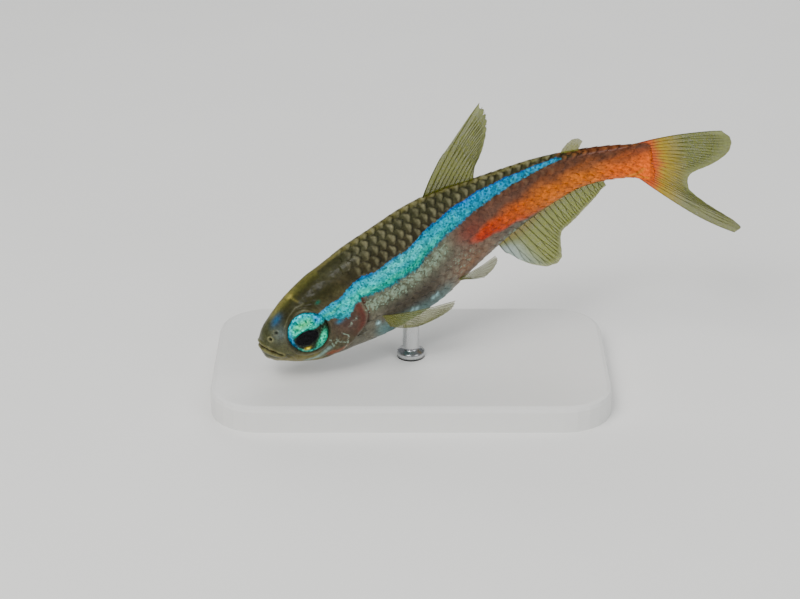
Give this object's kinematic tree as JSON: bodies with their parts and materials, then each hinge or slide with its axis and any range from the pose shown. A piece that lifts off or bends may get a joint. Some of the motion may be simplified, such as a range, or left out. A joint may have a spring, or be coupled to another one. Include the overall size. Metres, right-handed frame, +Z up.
{
  "type": "neon tetra fish model",
  "caption": "Life-size still model of a small freshwater aquarium fish with a blue and red flank stripe, swimming, on a small display stand",
  "frame": {"origin": "centre of the flat underside of the stand's base", "axes": "+X towards the tail along the length of the base, +Y away from the fish's left side, which is the side seen in the picture, +Z up"},
  "size_m": [0.0317, 0.014, 0.0175],
  "materials": {
    "head_skin": "wet skin",
    "gill_cover_skin": "wet skin",
    "trunk_skin": "wet scaled skin",
    "tail_skin": "wet scaled skin",
    "eye": "polished",
    "fin": "clear membrane with rays",
    "anal_fin": "clear membrane with rays",
    "stand_base": "satin",
    "stand_rod": "satin"
  },
  "bodies": {
    "root": {"head": "head_skin", "gill_cover_left": "gill_cover_skin", "gill_cover_right": "gill_cover_skin", "eye_left": "eye", "eye_right": "eye", "trunk": "trunk_skin", "tail_stem": "tail_skin", "dorsal_fin": "fin", "adipose_fin": "fin", "anal_fin": "anal_fin", "caudal_fin": "fin", "pectoral_fin_left": "fin", "pectoral_fin_right": "fin", "pelvic_fin_left": "fin", "pelvic_fin_right": "fin", "stand_base": "stand_base", "stand_rod": "stand_rod"}
  },
  "joints": []
}
